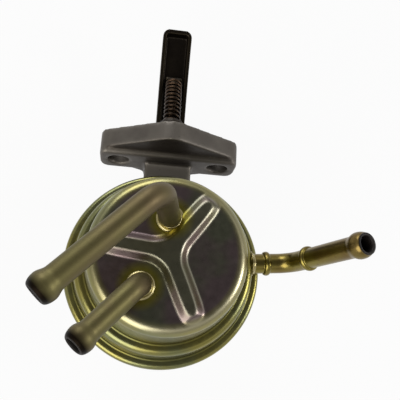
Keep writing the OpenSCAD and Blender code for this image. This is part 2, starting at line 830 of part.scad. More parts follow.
module oil_seal() color("black") {
    on_axis(web_top)
        rotate_extrude($fn = 64)
            polygon([[rod_r + 4 * running, 0], [6, 0], [6, 3], [rod_r + 1.6, 3], [rod_r + running, 3.8],
                     [rod_r + running, 2.6], [rod_r + 4 * running, 1.4]]);
}

module seal_retainer() color("silver") {
    on_axis(web_top)
        rotate_extrude($fn = 64)
            polygon([[6 + running, 0], [well_r - gap, 0], [well_r - gap, well_seat_t], [7, well_seat_t], [7, 4],
                     [rod_r + 2.4, 4], [rod_r + 2.4, 3], [6 + running, 3]]);
}

// Rocker mechanism: pressed arm on its pin, forked link and return spring

function arm_s(y) = (y - arm_root_y) / (arm_reach - arm_root_y);
function arm_floor(y) = arm_root_z + arm_rise * arm_s(y) * arm_s(y);
function arm_top(y) = arm_floor(y) + arm_h + (arm_tip_h - arm_h) * arm_s(y);
arm_ys = [for (i = [0:18]) arm_root_y + (arm_reach - arm_root_y) * i / 18];
ear_back = pin_y - hub_r - 3;

module arm_plan(inset) {
    root = arm_w / 2 - inset;
    tip = arm_tip_w / 2 - inset;
    corner = 2.6 - inset;
    y0 = ear_back - 5;
    wrapped([[root - 0.3, y0], [tip - corner, arm_reach - inset - corner],
             [corner - tip, arm_reach - inset - corner], [0.3 - root, y0]],
            [0.3, corner, corner, 0.3]);
}

module arm_side(lift) {
    polygon(concat([for (y = arm_ys) [y, arm_floor(y) + lift]], [for (y = flip(arm_ys)) [y, arm_top(y)]]));
}

module ear_side() {
    top = pin_z + ear_r - 0.6;
    translate([pin_y, pin_z])
        circle(r = ear_r, $fn = 64);
    polygon([[pin_y, pin_z - ear_r], [arm_root_y + eps, arm_floor(arm_root_y)],
             [arm_root_y + eps, arm_top(arm_root_y)], [pin_y, pin_z + ear_r]]);
    polygon([[pin_y, top - 4], [pin_y, top + 0.4], [ear_back, top], [ear_back, top - 3]]);
}

module arm_tray() {
    intersection() {
        translate([0, 0, -60])
            linear_extrude(120)
                difference() {
                    arm_plan(0);
                    arm_plan(arm_t);
                }
        across(40)
            union() {
                arm_side(0);
                ear_side();
            }
    }
    intersection() {
        translate([0, 0, -60])
            linear_extrude(120)
                arm_plan(arm_t / 2);
        across(40)
            difference() {
                arm_side(0);
                arm_side(arm_t);
            }
    }
}

// Punched tab in the arm that the outer end of the spring bears on
module spring_tab() {
    z = arm_floor(seat_y) + arm_t - 0.4;
    translate([0, seat_y, z])
        rotate([-spring_fall, 0, 0])
            union() {
                translate([-3.4, 0, -0.6])
                    cube([6.8, arm_t, 6.6]);
                translate([0, eps, seat_z - z])
                    rotate([90, 0, 0])
                        cylinder(h = 1.4, r = arm_spring_r - arm_wire / 2 - 0.25, $fn = 32);
            }
}

module rocker_arm() color("#3a302a") {
    difference() {
        union() {
            arm_tray();
            spring_tab();
            translate([-arm_w / 2 + arm_t / 2, ear_back, pin_z + link_half + gap])
                cube([arm_w - arm_t, 2.6, arm_t]);
        }
        translate([0, pin_y, pin_z])
            bar_x(40, pin_r + running);
        translate([0, ear_back - 20, 0])
            cube([40, 40, 80], center = true);
    }
}

module rocker_pin() color("silver") {
    translate([0, pin_y, pin_z])
        bar_x(neck_w - 3, pin_r);
}

module pin_plugs() color("gray") {
    for (s = [-1, 1])
        translate([s * (neck_w / 2 - 0.75), pin_y, pin_z])
            difference() {
                bar_x(1.5, pin_r);
                translate([s * 0.75, 0, 0])
                    bar_x(1, pin_r - 1);
            }
}

module link_side() {
    half = link_half;
    bend_y = pin_y - 6;
    polygon([[pin_y, pin_z + half], [bend_y, pin_z + half], [-axis_reach + 8, fork_z + half + 0.6],
             [-axis_reach + 4.5, fork_z + fork_t / 2], [-axis_reach + 4.5, fork_z - fork_t / 2],
             [-axis_reach + 9, fork_z - fork_t / 2], [bend_y, pin_z - half - 0.6], [pin_y, pin_z - half - 0.6]]);
}

module link_lever() color("dimgray") {
    hub_w = arm_w - 2 * arm_t - 2 * gap;
    difference() {
        union() {
            translate([0, pin_y, pin_z])
                bar_x(hub_w, hub_r);
            across(4.6)
                link_side();
            translate([0, 0, fork_z - fork_t / 2])
                linear_extrude(fork_t)
                    difference() {
                        wrapped([[4.2, -axis_reach - 4], [3.6, -axis_reach + 8], [-3.6, -axis_reach + 8],
                                 [-4.2, -axis_reach - 4]], [1.8, 1.4, 1.4, 1.8]);
                        translate([-rod_r - gap, -axis_reach - 9])
                            square([2 * (rod_r + gap), 9 + rod_r + gap]);
                    }
        }
        translate([0, pin_y, pin_z])
            bar_x(40, pin_r + running);
    }
}

// Arm spring: its axis leaves the hood level and bows down to the tab on the arm
spring_start = -window_depth + 0.05;
spring_z0 = hood_z;
spring_fall = 14;
seat_z = arm_floor(seat_y) + arm_t + arm_spring_d / 2 + 0.3;

function bow(s) =
    let (p0 = [spring_start + arm_wire / 2, spring_z0],
         p2 = [seat_y - arm_wire / 2 - 0.5, seat_z],
         p1 = [p0[0] + (p2[0] - p0[0]) * 0.55, spring_z0])
    (1 - s) * (1 - s) * p0 + 2 * s * (1 - s) * p1 + s * s * p2;

function bow_way(s) =
    let (d = bow(min(s + 0.01, 1)) - bow(max(s - 0.01, 0)))
    d / norm(d);

function arm_coil(steps) =
    [for (i = [0:arm_turns * steps])
        let (q = coil_rise(i / (arm_turns * steps), arm_turns), a = 360 * i / steps, c = bow(q), t = bow_way(q))
        [arm_spring_r * cos(a), c[0] - arm_spring_r * sin(a) * t[1], c[1] + arm_spring_r * sin(a) * t[0]]];

module arm_spring() color("#4a3528") {
    wire(arm_coil(16), arm_wire / 2, 6, [0, 1, 0]);
}

housing();
top_cover();
outlet_tube();
return_tube();
inlet_tube();
cover_gasket();
valve_body();
inlet_valve_seat();
inlet_valve_disc();
inlet_valve_spring();
inlet_valve_stem();
outlet_valve_seat();
outlet_valve_disc();
outlet_valve_spring();
outlet_valve_stem();
diaphragm();
upper_plate();
lower_plate();
pull_rod();
diaphragm_spring();
oil_seal();
seal_retainer();
rocker_arm();
rocker_pin();
pin_plugs();
link_lever();
arm_spring();
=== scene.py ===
"""Looks of a mechanical fuel pump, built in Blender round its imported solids.

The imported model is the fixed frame. The cover, the three hose tubes, the casting, the
arm and its spring are drawn again here as smooth surfaces at the same sizes, and every
solid gets a procedural finish. Sizes are in millimetres until a mesh is made.
"""
import json
import logging
import math
from collections.abc import Callable
from dataclasses import dataclass
from enum import Enum

import bmesh
import bpy
import numpy as np
from mathutils import Matrix, Vector


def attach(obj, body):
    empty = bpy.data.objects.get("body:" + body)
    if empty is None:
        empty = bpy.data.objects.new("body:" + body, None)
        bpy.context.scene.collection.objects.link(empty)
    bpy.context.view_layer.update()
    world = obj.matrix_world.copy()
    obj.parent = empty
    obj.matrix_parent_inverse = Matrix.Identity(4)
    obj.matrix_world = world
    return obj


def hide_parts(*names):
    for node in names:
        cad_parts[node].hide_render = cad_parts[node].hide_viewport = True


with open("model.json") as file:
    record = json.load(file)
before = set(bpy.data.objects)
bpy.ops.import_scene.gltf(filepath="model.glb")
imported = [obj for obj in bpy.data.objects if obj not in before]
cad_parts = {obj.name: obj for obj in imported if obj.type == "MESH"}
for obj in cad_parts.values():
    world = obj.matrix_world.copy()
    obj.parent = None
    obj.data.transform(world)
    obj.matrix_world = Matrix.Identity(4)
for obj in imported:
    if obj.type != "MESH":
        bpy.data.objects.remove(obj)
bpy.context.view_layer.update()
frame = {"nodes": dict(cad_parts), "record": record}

Socket, Tree = bpy.types.NodeSocket, bpy.types.NodeTree
Finish, Piece = bpy.types.Material, bpy.types.Object

LOG = logging.getLogger("fuel_pump")
MM = 0.001
AXIS_Y = -54.5
POLE_MM = 1e-4
UP = np.array([0.0, 0.0, 1.0])


class Body(Enum):
    """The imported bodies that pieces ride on."""

    PUMP = "pump_body"
    ROCKER = "rocker"


class Slot(Enum):
    """Material slots of the record, passed with the new pieces."""

    COVER = "zinc_plated_cover"
    TUBE = "zinc_plated_tube"
    CASTING = "casting"
    ARM = "arm_steel"
    SPRING = "spring_steel"


def linear(red: float, green: float, blue: float) -> tuple[float, float, float, float]:
    """Turn a colour as seen on a screen, 0 to 255, into the shader's linear values.

    Args:
        red: Red, 0 to 255.
        green: Green, 0 to 255.
        blue: Blue, 0 to 255.

    Returns:
        Linear red, green and blue with alpha 1.
    """
    share = np.array([red, green, blue]) / 255
    low = share / 12.92
    high = ((share + 0.055) / 1.055) ** 2.4
    value = np.where(share <= 0.04045, low, high)
    return (float(value[0]), float(value[1]), float(value[2]), 1.0)


# Surfaces: grids of points, profiles carried along paths


@dataclass
class Surface:
    """Points in millimetres, their faces, and values kept for each point."""

    points: np.ndarray
    faces: np.ndarray
    values: dict[str, np.ndarray]


def grid_faces(rows: int, cols: int, wrap_rows: bool, wrap_cols: bool) -> np.ndarray:
    """Quads that join the points of a grid to their next row and column.

    Args:
        rows: Number of rows.
        cols: Number of points in a row.
        wrap_rows: Join the last row to the first.
        wrap_cols: Join the last column to the first.

    Returns:
        Four point numbers for each face.
    """
    row = np.arange(rows if wrap_rows else rows - 1)
    col = np.arange(cols if wrap_cols else cols - 1)
    i, j = (a.ravel() for a in np.meshgrid(row, col, indexing="ij"))
    after_i, after_j = (i + 1) % rows, (j + 1) % cols
    return np.stack(
        [i * cols + j, i * cols + after_j, after_i * cols + after_j, after_i * cols + j], axis=1
    )


def arc_points(
    centre: tuple[float, float], radius: float, start: float, end: float, steps: int
) -> list[tuple[float, float]]:
    """Points of a circular arc in a profile.

    Args:
        centre: Centre of the arc.
        radius: Radius of the arc.
        start: First angle in degrees.
        end: Last angle in degrees.
        steps: Number of equal steps.

    Returns:
        The points, both ends included.
    """
    turn = np.radians(np.linspace(start, end, steps + 1))
    return list(zip(centre[0] + radius * np.cos(turn), centre[1] + radius * np.sin(turn)))


def revolve(profile: np.ndarray, steps: int) -> Surface:
    """Turn a closed profile round the Z axis: (r, z) becomes (r cos a, r sin a, z).

    Args:
        profile: Radii and heights, anticlockwise with the radius to the right.
        steps: Number of steps of the angle a round the axis.

    Returns:
        The closed surface of the ring.
    """
    turn = np.linspace(0, 2 * np.pi, steps, endpoint=False)
    r, z = profile[:, :1], profile[:, 1:]
    points = np.stack([r * np.cos(turn), r * np.sin(turn), z + 0 * turn], axis=-1)
    return Surface(points.reshape(-1, 3), grid_faces(len(profile), steps, True, True), {})


def carried(
    path: np.ndarray, across: np.ndarray, side: np.ndarray, radii: np.ndarray, steps: int, ring: bool
) -> Surface:
    """Carry a circle along a path: point + r (cos a across + sin a side) at each station.

    Args:
        path: One point for each station.
        across: Unit vector across the path at each station.
        side: Unit vector across the path, square to the first.
        radii: Radius at each station.
        steps: Points round the circle.
        ring: Join the last station to the first. Without it the ends close where
            their radius is 0 and add_piece merges their points.

    Returns:
        The closed surface.
    """
    turn = np.linspace(0, 2 * np.pi, steps, endpoint=False)
    c, s = np.cos(turn)[None, :, None], np.sin(turn)[None, :, None]
    points = path[:, None] + radii[:, None, None] * (c * across[:, None] + s * side[:, None])
    faces = grid_faces(len(path), steps, ring, True)
    return Surface(points.reshape(-1, 3), faces, {})


def outward(surface: Surface) -> Surface:
    """Turn the faces round if the volume they close comes out negative."""
    p = surface.points
    a, b, c, d = (p[surface.faces[:, k]] for k in range(4))
    volume = np.einsum("ij,ij->", np.cross(a, b), c) + np.einsum("ij,ij->", np.cross(a, c), d)
    if volume < 0:
        surface.faces = surface.faces[:, ::-1].copy()
    return surface


def add_piece(name: str, surface: Surface, body: Body, slot: Slot, *replaced: str) -> Piece:
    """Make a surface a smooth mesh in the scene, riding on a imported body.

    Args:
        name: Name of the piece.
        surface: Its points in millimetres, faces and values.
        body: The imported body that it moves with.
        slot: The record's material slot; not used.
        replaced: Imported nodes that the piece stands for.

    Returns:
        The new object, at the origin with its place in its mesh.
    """
    mesh = bpy.data.meshes.new(name)
    mesh.from_pydata((surface.points * MM).tolist(), [], surface.faces.tolist())
    for key, value in surface.values.items():
        mesh.attributes.new(key, "FLOAT", "POINT").data.foreach_set("value", value.astype(np.float32))
    whole = bmesh.new()
    whole.from_mesh(mesh)
    bmesh.ops.remove_doubles(whole, verts=whole.verts, dist=POLE_MM * MM)
    whole.to_mesh(mesh)
    whole.free()
    mesh.polygons.foreach_set("use_smooth", np.ones(len(mesh.polygons), bool))
    mesh.validate()
    mesh.update()
    piece = bpy.data.objects.new(name, mesh)
    bpy.context.scene.collection.objects.link(piece)
    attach(piece, body.value)
    if replaced:
        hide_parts(*replaced)
    LOG.info("%s: %d faces on %s", name, len(mesh.polygons), body.value)
    return piece


# Shader nodes


class Shader:
    """A material with short ways to add and join its nodes."""

    def __init__(self, name: str) -> None:
        """Make the material with a Principled BSDF and its output.

        Args:
            name: Name of the material.
        """
        self.material = bpy.data.materials.new(name)
        self.material.use_nodes = True
        self.tree = self.material.node_tree
        self.bsdf = self.tree.nodes["Principled BSDF"]

    def node(self, kind: str, **settings: object) -> bpy.types.Node:
        """Add a node and set its properties.

        Args:
            kind: Blender's name of the node type.
            settings: Properties of the node.

        Returns:
            The new node.
        """
        made = self.tree.nodes.new(kind)
        for key, value in settings.items():
            setattr(made, key, value)
        return made

    def join(self, source: Socket, target: Socket) -> None:
        """Link an output to an input."""
        self.tree.links.new(source, target)

    def place(self) -> Socket:
        """Object coordinates, the same at every pose."""
        return self.node("ShaderNodeTexCoord").outputs["Object"]

    def value_of(self, attribute: str) -> Socket:
        """A value kept for each point of the piece's mesh."""
        return self.node("ShaderNodeAttribute", attribute_name=attribute).outputs["Fac"]

    def group(self, tree: Tree, **inputs: float) -> bpy.types.Node:
        """Place a shared effect and set its own values.

        Args:
            tree: The node group.
            inputs: Values of its inputs by name, with _ for a space.

        Returns:
            The group node.
        """
        made = self.node("ShaderNodeGroup", node_tree=tree)
        for key, value in inputs.items():
            made.inputs[key.replace("_", " ")].default_value = value
        return made

    def mix(self, share: object, first: object, second: object) -> Socket:
        """Mix two colours by a share from 0 to 1.

        Args:
            share: A number or a socket.
            first: Colour or socket where the share is 0.
            second: Colour or socket where the share is 1.

        Returns:
            The mixed colour.
        """
        made = self.node("ShaderNodeMix", data_type="RGBA")
        for socket, given in zip((made.inputs[0], made.inputs[6], made.inputs[7]), (share, first, second)):
            if isinstance(given, Socket):
                self.join(given, socket)
            else:
                socket.default_value = given
        return made.outputs[2]

    def ramp(self, source: Socket, low: float, high: float) -> Socket:
        """Stretch the part of a value between low and high to 0 to 1, smoothly."""
        made = self.node("ShaderNodeMapRange", interpolation_type="SMOOTHSTEP")
        self.join(source, made.inputs["Value"])
        made.inputs["From Min"].default_value = low
        made.inputs["From Max"].default_value = high
        return made.outputs["Result"]

    def scaled(self, source: Socket, low: float, high: float) -> Socket:
        """Map a value from 0 to 1 onto the range from low to high."""
        made = self.node("ShaderNodeMapRange")
        self.join(source, made.inputs["Value"])
        made.inputs["To Min"].default_value = low
        made.inputs["To Max"].default_value = high
        return made.outputs["Result"]

    def bump(self, height: Socket, depth_mm: float, strength: float) -> None:
        """Feed a height into the surface normal.

        Args:
            height: Height from 0 to 1.
            depth_mm: Depth in millimetres that a height of 1 stands for.
            strength: Strength of the bump.
        """
        made = self.node("ShaderNodeBump")
        made.inputs["Strength"].default_value = strength
        made.inputs["Distance"].default_value = depth_mm * MM
        self.join(height, made.inputs["Height"])
        self.join(made.outputs["Normal"], self.bsdf.inputs["Normal"])


class Effects:
    """Node groups that several finishes share."""

    def __init__(self) -> None:
        """Build each group once."""
        self.clouds = self._noise_group("Soft_Clouds", ("Broad", "Fine"))
        self.grain = self._grain_group()

    @staticmethod
    def _open(name: str, inputs: tuple[tuple[str, str, float], ...], outputs: tuple[str, ...]) -> tuple:
        """Make an empty group with its sockets.

        Args:
            name: Name of the group.
            inputs: Name, socket type and default of each input.
            outputs: Names of the value outputs.

        Returns:
            The tree, its input node and its output node.
        """
        tree = bpy.data.node_groups.new(name, "ShaderNodeTree")
        for label, kind, default in inputs:
            made = tree.interface.new_socket(label, in_out="INPUT", socket_type=kind)
            if kind == "NodeSocketFloat":
                made.default_value = default
        for label in outputs:
            tree.interface.new_socket(label, in_out="OUTPUT", socket_type="NodeSocketFloat")
        return tree, tree.nodes.new("NodeGroupInput"), tree.nodes.new("NodeGroupOutput")

    def _noise_group(self, name: str, outputs: tuple[str, str]) -> Tree:
        """Two sizes of soft noise, for films, stains and uneven dulling.

        Args:
            name: Name of the group.
            outputs: Names of the broad and the fine noise.

        Returns:
            The group.
        """
        tree, start, end = self._open(
            name,
            (("Vector", "NodeSocketVector", 0), ("Scale", "NodeSocketFloat", 60),
             ("Fine Scale", "NodeSocketFloat", 400)),
            outputs,
        )
        for label, target in zip(("Scale", "Fine Scale"), outputs):
            noise = tree.nodes.new("ShaderNodeTexNoise")
            noise.inputs["Detail"].default_value = 3
            noise.inputs["Roughness"].default_value = 0.55
            tree.links.new(start.outputs["Vector"], noise.inputs["Vector"])
            tree.links.new(start.outputs[label], noise.inputs["Scale"])
            tree.links.new(noise.outputs["Fac"], end.inputs[target])
        return tree

    def _grain_group(self) -> Tree:
        """Fine surface grain: small noise with sparse deeper pits.

        Returns:
            The group, with outputs Height and Pits.
        """
        tree, start, end = self._open(
            "Metal_Grain",
            (("Vector", "NodeSocketVector", 0), ("Scale", "NodeSocketFloat", 1500),
             ("Pit Scale", "NodeSocketFloat", 500)),
            ("Height", "Pits"),
        )
        noise = tree.nodes.new("ShaderNodeTexNoise")
        noise.inputs["Detail"].default_value = 4
        cells = tree.nodes.new("ShaderNodeTexVoronoi")
        edge = tree.nodes.new("ShaderNodeMapRange")
        edge.inputs["From Min"].default_value = 0.02
        edge.inputs["From Max"].default_value = 0.16
        add = tree.nodes.new("ShaderNodeMath")
        add.operation = "MULTIPLY"
        tree.links.new(start.outputs["Vector"], noise.inputs["Vector"])
        tree.links.new(start.outputs["Scale"], noise.inputs["Scale"])
        tree.links.new(start.outputs["Vector"], cells.inputs["Vector"])
        tree.links.new(start.outputs["Pit Scale"], cells.inputs["Scale"])
        tree.links.new(cells.outputs["Distance"], edge.inputs["Value"])
        tree.links.new(noise.outputs["Fac"], add.inputs[0])
        tree.links.new(edge.outputs["Result"], add.inputs[1])
        tree.links.new(add.outputs["Value"], end.inputs["Height"])
        tree.links.new(edge.outputs["Result"], end.inputs["Pits"])
        return tree


@dataclass(frozen=True)
class ZincCoverFinish:
    """Yellow zinc on the pressed cover: olive gold walls, grey flats and thin coloured films, with painted
    highlights and painted shade.
    """

    gold: tuple = linear(131, 124, 69)
    teal: tuple = linear(98, 110, 90)
    # Pale tone painted as a highlight along the round of the dome's shoulder.
    fillet: tuple = linear(158, 152, 126)
    lobe: tuple = linear(100, 92, 86)
    violet: tuple = linear(118, 100, 106)
    green: tuple = linear(104, 112, 88)
    raised: tuple = linear(112, 110, 92)
    # Plum and slope tones on the relief sides: a film tint that also stands in, as painted shade, for the sides'
    # dim reflection.
    slope: tuple = linear(104, 102, 78)
    plum: tuple = linear(106, 90, 86)
    # Pale tone painted as thin highlights along the top and foot edges of the relief.
    line: tuple = linear(150, 148, 132)
    # Dark olive tone painted as shade in the cover's concave corners.
    crease_shade: tuple = linear(74, 70, 28)
    stain: tuple = linear(136, 128, 48)
    braze: tuple = linear(170, 158, 116)
    roughness: tuple[float, float] = (0.22, 0.4)

    def make(self, effects: Effects) -> Finish:
        """Build the material from the values kept on the cover's points.

        Args:
            effects: The shared node groups.

        Returns:
            The material.
        """
        shader = Shader("zinc_cover")
        clouds = shader.group(effects.clouds, Scale=55, Fine_Scale=420)
        shader.join(shader.place(), clouds.inputs["Vector"])
        broad = shader.ramp(clouds.outputs["Broad"], 0.38, 0.62)
        flat = shader.mix(0.55, self.lobe, shader.mix(broad, self.violet, self.green))
        flat = shader.mix(shader.value_of("raised"), flat, self.raised)
        wall = shader.mix(shader.scaled(broad, 0.0, 0.5), self.gold, self.teal)
        colour = shader.mix(shader.value_of("flat"), wall, flat)
        # Relief sides: film tint and painted shade tone, mixed in by the steep value.
        colour = shader.mix(shader.value_of("steep"), colour, shader.mix(broad, self.plum, self.slope))
        # The shoulder and line tones are painted highlights and the corner tone is painted shade; stain and
        # braze are the metal's own colours.
        tones = {
            "shoulder": self.fillet, "line": self.line, "stain": self.stain,
            "crease_shade": self.crease_shade, "braze": self.braze,
        }
        for value, tone in tones.items():
            colour = shader.mix(shader.value_of(value), colour, tone)
        shader.join(colour, shader.bsdf.inputs["Base Color"])
        shader.join(shader.scaled(clouds.outputs["Fine"], *self.roughness), shader.bsdf.inputs["Roughness"])
        shader.bsdf.inputs["Metallic"].default_value = 1.0
        grain = shader.group(effects.grain, Scale=900, Pit_Scale=260)
        shader.join(shader.place(), grain.inputs["Vector"])
        shader.bump(grain.outputs["Height"], 0.02, 0.35)
        return shader.material


@dataclass(frozen=True)
class MetalFinish:
    """A metal with wear: two tones mixed by soft clouds, pits, grain, edge wear that on the casting also carries
    painted light, and painted shade.
    """

    name: str
    base: tuple
    shade: tuple
    # Paler tone of edge wear, on the casting also painted light on the neck.
    wear_and_light_tone: tuple
    metallic: float
    roughness: tuple[float, float]
    clouds: float = 70.0
    grain: float = 1500.0
    pits: float = 500.0
    depth_mm: float = 0.02
    bump: float = 0.4
    wear_and_light: bool = False
    # Dark tone painted as shade, mixed in by a point value.
    painted_shade: tuple | None = None

    def make(self, effects: Effects) -> Finish:
        """Build the material.

        Args:
            effects: The shared node groups.

        Returns:
            The material.
        """
        shader = Shader(self.name)
        clouds = shader.group(effects.clouds, Scale=self.clouds, Fine_Scale=self.clouds * 7)
        grain = shader.group(effects.grain, Scale=self.grain, Pit_Scale=self.pits)
        place = shader.place()
        shader.join(place, clouds.inputs["Vector"])
        shader.join(place, grain.inputs["Vector"])
        colour = shader.mix(shader.ramp(clouds.outputs["Broad"], 0.35, 0.65), self.base, self.shade)
        # Edge wear, and on the casting painted light on the neck's top face.
        if self.wear_and_light:
            colour = shader.mix(shader.value_of("wear_and_light"), colour, self.wear_and_light_tone)
        # Painted shade: the dark tone where the point value asks for it.
        if self.painted_shade:
            colour = shader.mix(shader.value_of("painted_shade"), colour, self.painted_shade)
        colour = shader.mix(shader.scaled(grain.outputs["Pits"], 1.0, 0.0), colour, self.shade)
        shader.join(colour, shader.bsdf.inputs["Base Color"])
        shader.join(shader.scaled(clouds.outputs["Fine"], *self.roughness), shader.bsdf.inputs["Roughness"])
        shader.bsdf.inputs["Metallic"].default_value = self.metallic
        shader.bump(grain.outputs["Height"], self.depth_mm, self.bump)
        return shader.material


# On the casting the dark tone is painted shade on the back of the flange and past its face; the paler tone marks
# edge wear and is painted light on the neck.
CASTING = MetalFinish(
    "cast_metal", linear(92, 87, 81), linear(80, 75, 70), linear(128, 122, 114), 0.75,
    (0.42, 0.6), grain=1300, pits=420, depth_mm=0.05, bump=0.55, wear_and_light=True, painted_shade=linear(50, 44, 38),
)
# The tube finishes' near-black tone is painted shade on the rounded nose, standing in for its dark reflection.
TUBE_ZINC = MetalFinish(
    "zinc_tube", linear(101, 95, 62), linear(99, 87, 64), linear(140, 136, 90), 1.0,
    (0.44, 0.58), clouds=50, grain=1100, pits=300, depth_mm=0.012, bump=0.35, painted_shade=linear(22, 17, 12),
)
SIDE_ZINC = MetalFinish(
    "zinc_side_tube", linear(122, 111, 56), linear(104, 86, 50), linear(150, 146, 90), 1.0,
    (0.24, 0.36), clouds=60, grain=1100, pits=300, depth_mm=0.012, bump=0.3, painted_shade=linear(22, 17, 12),
)
# Near-black finish painted as shade inside the bore and on the lip of the mouth.
TUBE_BORE_SHADE = MetalFinish(
    "tube_bore_shade", linear(28, 21, 16), linear(18, 13, 11), linear(40, 32, 24), 0.5,
    (0.5, 0.65),
)
ARM_STEEL = MetalFinish(
    "arm_steel", linear(30, 24, 17), linear(23, 18, 13), linear(62, 54, 36), 0.85,
    (0.3, 0.45), clouds=80, grain=1400, pits=380, depth_mm=0.015, bump=0.4, wear_and_light=True,
)
SPRING_STEEL = MetalFinish(
    "spring_steel", linear(70, 54, 41), linear(46, 36, 27), linear(110, 92, 72), 0.95, (0.22, 0.34),
)
BRIGHT_STEEL = MetalFinish(
    "bright_steel", linear(188, 186, 182), linear(166, 164, 160), linear(210, 208, 204), 1.0, (0.18, 0.3),
)
PLATED_STEEL = MetalFinish(
    "plated_steel", linear(176, 172, 148), linear(156, 150, 126), linear(200, 198, 180), 1.0, (0.25, 0.4),
)
BRASS = MetalFinish("brass", linear(196, 164, 96), linear(170, 138, 74), linear(214, 186, 120), 1.0, (0.2, 0.34))
RUBBER = MetalFinish(
    "black_rubber", linear(34, 34, 34), linear(26, 26, 26), linear(50, 50, 50), 0.0, (0.5, 0.7), grain=2200,
)
DIAPHRAGM_CLOTH = MetalFinish(
    "coated_fabric", linear(116, 78, 48), linear(94, 62, 38), linear(130, 92, 60), 0.0, (0.6, 0.75), grain=2600,
)
GASKET = MetalFinish(
    "pressed_fibre", linear(82, 80, 76), linear(66, 64, 60), linear(90, 88, 84), 0.0, (0.75, 0.9), grain=1800,
)

SLOT_FINISHES = {
    "zinc_plated_cover": PLATED_STEEL,
    "zinc_plated_tube": TUBE_ZINC,
    "casting": CASTING,
    "arm_steel": ARM_STEEL,
    "spring_steel": SPRING_STEEL,
    "bright_steel": BRIGHT_STEEL,
    "plated_steel": PLATED_STEEL,
    "brass": BRASS,
    "rubber": RUBBER,
    "diaphragm_fabric": DIAPHRAGM_CLOTH,
    "gasket": GASKET,
}


# Pieces


